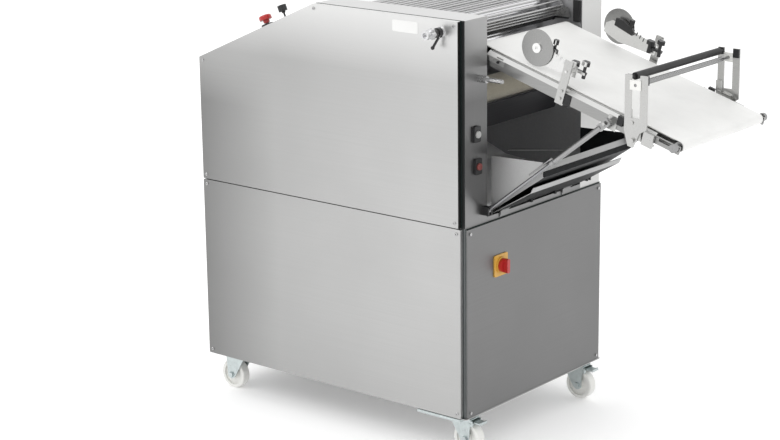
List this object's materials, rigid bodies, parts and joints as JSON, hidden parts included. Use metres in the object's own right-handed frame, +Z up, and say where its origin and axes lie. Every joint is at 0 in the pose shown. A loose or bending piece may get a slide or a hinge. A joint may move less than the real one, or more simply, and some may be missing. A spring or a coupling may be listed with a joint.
{
  "type": "dough sheeter",
  "caption": "Floor-standing dough sheeter with sheeting rolls between two cheeks, a sloping outfeed belt with disc cutters, a press roller and a catch tray, on casters",
  "frame": {"origin": "on the floor under the centre of the whole machine's bounding box", "axes": "+X towards the outfeed end, +Y across to the right-hand side as seen by someone facing the outfeed, +Z up"},
  "size_m": [1.7936, 0.8464, 1.393],
  "materials": {
    "stainless_panel": "brushed",
    "door_steel": "brushed",
    "frame_steel": "painted",
    "machined_steel": "ground",
    "roll_chrome": "polished",
    "guard_steel": "satin",
    "gasket_rubber": "matte",
    "screw_steel": "polished",
    "chute_steel": "brushed",
    "motor_paint": "painted",
    "switch_yellow": "gloss",
    "switch_red": "gloss",
    "button_white": "gloss",
    "button_red": "gloss",
    "black_plastic": "moulded",
    "black_bar": "gloss",
    "belt_white": "woven, coated",
    "felt_cream": "felt",
    "disc_steel": "turned",
    "arm_steel": "satin",
    "roller_steel": "polished",
    "nylon_white": "moulded",
    "zinc_plate": "zinc plated"
  },
  "bodies": {
    "frame": {"base_frame": "frame_steel", "base_pan": "stainless_panel", "lower_covers": "stainless_panel", "front_door": "door_steel", "rear_door": "door_steel", "deck_plate": "stainless_panel", "side_plate_left": "machined_steel", "side_plate_right": "machined_steel", "cheek_shell_left": "stainless_panel", "cheek_shell_right": "stainless_panel", "head_cover_left": "stainless_panel", "head_cover_right": "stainless_panel", "cover_gaskets": "gasket_rubber", "cover_screws": "screw_steel", "rear_cover": "stainless_panel", "dough_chutes": "chute_steel", "bearings": "machined_steel", "drive_unit": "motor_paint", "switch_plate": "switch_yellow", "black_fittings": "black_plastic", "caster_mounts": "zinc_plate"},
    "switch_handle": {"switch_handle": "switch_red"},
    "start_button": {"start_button": "button_white"},
    "stop_button": {"stop_button": "button_red"},
    "estop_button": {"estop_button": "switch_red"},
    "speed_knob": {"speed_knob": "black_plastic"},
    "gap_knob": {"gap_knob": "screw_steel"},
    "clamp_lever": {"clamp_lever": "black_plastic"},
    "roll_rear_lower": {"roll_rear_lower": "roll_chrome"},
    "roll_rear_upper": {"roll_rear_upper": "roll_chrome"},
    "roll_front_lower": {"roll_front_lower": "roll_chrome"},
    "roll_carriage": {"roll_carriage": "machined_steel"},
    "roll_front_upper": {"roll_front_upper": "roll_chrome"},
    "felt_roller": {"felt_roller": "felt_cream"},
    "top_guard": {"top_guard": "guard_steel"},
    "conveyor": {"conveyor_frame": "arm_steel", "conveyor_belt": "belt_white", "conveyor_brackets": "arm_steel", "bar_and_blocks": "black_bar"},
    "drive_drum": {"drive_drum": "roller_steel"},
    "nose_roller": {"nose_roller": "roller_steel"},
    "slot_blocks": {"slot_blocks": "nylon_white"},
    "pressing_roller": {"pressing_roller": "roller_steel"},
    "lower_tray": {"lower_tray": "chute_steel"},
    "cutter_arm_left": {"cutter_arm_left": "arm_steel"},
    "cutter_disc_left": {"cutter_disc_left": "disc_steel"},
    "strut_rod_left": {"strut_rod_left": "roller_steel"},
    "strut_tube_left": {"strut_tube_left": "arm_steel"},
    "wheel_front_left": {"wheel_front_left": "nylon_white"},
    "wheel_rear_left": {"wheel_rear_left": "nylon_white"},
    "caster_fork_left": {"caster_fork_left": "zinc_plate"},
    "brake_pedal_left": {"brake_pedal_left": "zinc_plate"},
    "cutter_arm_right": {"cutter_arm_right": "arm_steel"},
    "cutter_disc_right": {"cutter_disc_right": "disc_steel"},
    "strut_rod_right": {"strut_rod_right": "roller_steel"},
    "strut_tube_right": {"strut_tube_right": "arm_steel"},
    "wheel_front_right": {"wheel_front_right": "nylon_white"},
    "wheel_rear_right": {"wheel_rear_right": "nylon_white"},
    "caster_fork_right": {"caster_fork_right": "zinc_plate"},
    "brake_pedal_right": {"brake_pedal_right": "zinc_plate"}
  },
  "joints": [
    {"name": "main_switch_turn", "type": "hinge", "parent": "frame", "child": "switch_handle", "pos_m": [0.22315, -0.16115, 0.598], "axis": [1, 0, 0], "range_deg": [-90, 0]},
    {"name": "start_press", "type": "slide", "parent": "frame", "child": "start_button", "axis": [-1, 0, 0], "range_m": [0, 0.004], "stiffness_N_per_m": 400, "springref_m": -0.002},
    {"name": "stop_press", "type": "slide", "parent": "frame", "child": "stop_button", "axis": [-1, 0, 0], "range_m": [0, 0.004], "stiffness_N_per_m": 400, "springref_m": -0.002},
    {"name": "estop_press", "type": "slide", "parent": "frame", "child": "estop_button", "axis": [0.4071, 0, -0.9134], "range_m": [0, 0.004]},
    {"name": "speed_knob_turn", "type": "hinge", "parent": "frame", "child": "speed_knob", "pos_m": [-0.5443, -0.28215, 1.31524], "axis": [-0.4071, 0, 0.9134], "range_deg": [-135, 135]},
    {"name": "roll_gap_slide", "type": "slide", "parent": "frame", "child": "roll_carriage", "axis": [0, 0, 1], "range_m": [0, 0.006]},
    {"name": "gap_knob_turn", "type": "hinge", "parent": "frame", "child": "gap_knob", "pos_m": [0.13515, -0.34815, 1.354], "axis": [0, -1, 0], "range_deg": [0, 271]},
    {"name": "clamp_lever_turn", "type": "hinge", "parent": "frame", "child": "clamp_lever", "pos_m": [0.13515, -0.34815, 1.354], "axis": [0, -1, 0], "range_deg": [-30, 30]},
    {"name": "roll_rear_lower_spin", "type": "hinge", "parent": "frame", "child": "roll_rear_lower", "pos_m": [-0.13085, 0.03585, 1.29], "axis": [0, 1, 0], "continuous": true},
    {"name": "roll_rear_upper_spin", "type": "hinge", "parent": "frame", "child": "roll_rear_upper", "pos_m": [-0.07485, 0.03585, 1.341], "axis": [0, 1, 0], "continuous": true},
    {"name": "roll_front_lower_spin", "type": "hinge", "parent": "frame", "child": "roll_front_lower", "pos_m": [0.01515, 0.03585, 1.2695], "axis": [0, 1, 0], "continuous": true},
    {"name": "roll_front_upper_spin", "type": "hinge", "parent": "roll_carriage", "child": "roll_front_upper", "pos_m": [0.05115, 0.03585, 1.336], "axis": [0, 1, 0], "continuous": true},
    {"name": "felt_roller_spin", "type": "hinge", "parent": "frame", "child": "felt_roller", "pos_m": [0.10315, 0.03585, 1.128], "axis": [0, 1, 0], "continuous": true},
    {"name": "drive_drum_spin", "type": "hinge", "parent": "frame", "child": "drive_drum", "pos_m": [0.17415, 0.03585, 1.2775], "axis": [0, 1, 0], "continuous": true},
    {"name": "conveyor_lift", "type": "hinge", "parent": "frame", "child": "conveyor", "pos_m": [0.17415, 0.03585, 1.2775], "axis": [0, -1, 0], "range_deg": [0, 20]},
    {"name": "nose_roller_spin", "type": "hinge", "parent": "conveyor", "child": "nose_roller", "pos_m": [0.87985, 0.03585, 1.07547], "axis": [0, 1, 0], "continuous": true},
    {"name": "press_roller_lift", "type": "slide", "parent": "conveyor", "child": "slot_blocks", "axis": [0, 0, 1], "range_m": [-0.08, 0.008]},
    {"name": "press_roller_spin", "type": "hinge", "parent": "slot_blocks", "child": "pressing_roller", "pos_m": [0.75315, 0.03585, 1.246], "axis": [0, 1, 0], "continuous": true},
    {"name": "strut_swing_left", "type": "hinge", "parent": "frame", "child": "strut_rod_left", "pos_m": [0.23015, -0.23615, 0.79], "axis": [0, -1, 0], "range_deg": [0, 10.6]},
    {"name": "strut_extend_left", "type": "slide", "parent": "strut_rod_left", "child": "strut_tube_left", "axis": [0.7894, 0, 0.6138], "range_m": [0, 0.14]},
    {"name": "cutter_arm_lift_left", "type": "hinge", "parent": "conveyor", "child": "cutter_arm_left", "pos_m": [0.5033, -0.18715, 1.25451], "axis": [0, 1, 0], "range_deg": [-1.8, 35]},
    {"name": "cutter_disc_spin_left", "type": "hinge", "parent": "cutter_arm_left", "child": "cutter_disc_left", "pos_m": [0.3785, -0.18715, 1.30841], "axis": [0, 1, 0], "continuous": true},
    {"name": "caster_swivel_left", "type": "hinge", "parent": "frame", "child": "caster_fork_left", "pos_m": [0.15315, -0.27915, 0.1], "axis": [0, 0, 1], "continuous": true},
    {"name": "wheel_spin_front_left", "type": "hinge", "parent": "caster_fork_left", "child": "wheel_front_left", "pos_m": [0.18915, -0.27915, 0.05], "axis": [0, 1, 0], "continuous": true},
    {"name": "wheel_spin_rear_left", "type": "hinge", "parent": "frame", "child": "wheel_rear_left", "pos_m": [-0.82085, -0.27915, 0.05], "axis": [0, 1, 0], "continuous": true},
    {"name": "brake_pedal_left_rock", "type": "hinge", "parent": "caster_fork_left", "child": "brake_pedal_left", "pos_m": [0.20915, -0.27915, 0.104], "axis": [0, 1, 0], "range_deg": [0, 10]},
    {"name": "strut_swing_right", "type": "hinge", "parent": "frame", "child": "strut_rod_right", "pos_m": [0.23015, 0.30785, 0.79], "axis": [0, -1, 0], "range_deg": [0, 10.6]},
    {"name": "strut_extend_right", "type": "slide", "parent": "strut_rod_right", "child": "strut_tube_right", "axis": [0.7894, 0, 0.6138], "range_m": [0, 0.14]},
    {"name": "cutter_arm_lift_right", "type": "hinge", "parent": "conveyor", "child": "cutter_arm_right", "pos_m": [0.5033, 0.25885, 1.25451], "axis": [0, 1, 0], "range_deg": [-1.8, 35]},
    {"name": "cutter_disc_spin_right", "type": "hinge", "parent": "cutter_arm_right", "child": "cutter_disc_right", "pos_m": [0.3785, 0.25885, 1.30841], "axis": [0, 1, 0], "continuous": true},
    {"name": "caster_swivel_right", "type": "hinge", "parent": "frame", "child": "caster_fork_right", "pos_m": [0.15315, 0.35085, 0.1], "axis": [0, 0, 1], "continuous": true},
    {"name": "wheel_spin_front_right", "type": "hinge", "parent": "caster_fork_right", "child": "wheel_front_right", "pos_m": [0.18915, 0.35085, 0.05], "axis": [0, 1, 0], "continuous": true},
    {"name": "wheel_spin_rear_right", "type": "hinge", "parent": "frame", "child": "wheel_rear_right", "pos_m": [-0.82085, 0.35085, 0.05], "axis": [0, 1, 0], "continuous": true},
    {"name": "brake_pedal_right_rock", "type": "hinge", "parent": "caster_fork_right", "child": "brake_pedal_right", "pos_m": [0.20915, 0.35085, 0.104], "axis": [0, 1, 0], "range_deg": [0, 10]},
    {"name": "top_guard_lift", "type": "hinge", "parent": "frame", "child": "top_guard", "pos_m": [-0.25485, 0.03585, 1.383], "axis": [0, -1, 0], "range_deg": [0, 95]},
    {"name": "lower_tray_fold", "type": "hinge", "parent": "frame", "child": "lower_tray", "pos_m": [0.22115, 0.03585, 0.776], "axis": [0, -1, 0], "range_deg": [0, 30]}
  ],
  "couplings": [
    {"joint": "gap_knob_turn", "follows": "roll_gap_slide", "rad_per_m": 785.4},
    {"joint": "roll_rear_upper_spin", "follows": "roll_rear_lower_spin", "ratio": -1},
    {"joint": "roll_front_lower_spin", "follows": "roll_rear_lower_spin", "ratio": 1.2},
    {"joint": "roll_front_upper_spin", "follows": "roll_rear_lower_spin", "ratio": -1.2},
    {"joint": "felt_roller_spin", "follows": "roll_rear_lower_spin", "ratio": 1.0286},
    {"joint": "drive_drum_spin", "follows": "roll_rear_lower_spin", "ratio": 1.728},
    {"joint": "nose_roller_spin", "follows": "roll_rear_lower_spin", "ratio": 2.5412},
    {"joint": "strut_swing_left", "follows": "conveyor_lift", "ratio": 0.5244},
    {"joint": "strut_extend_left", "follows": "conveyor_lift", "m_per_rad": 0.3981},
    {"joint": "strut_swing_right", "follows": "conveyor_lift", "ratio": 0.5244},
    {"joint": "strut_extend_right", "follows": "conveyor_lift", "m_per_rad": 0.3981}
  ]
}
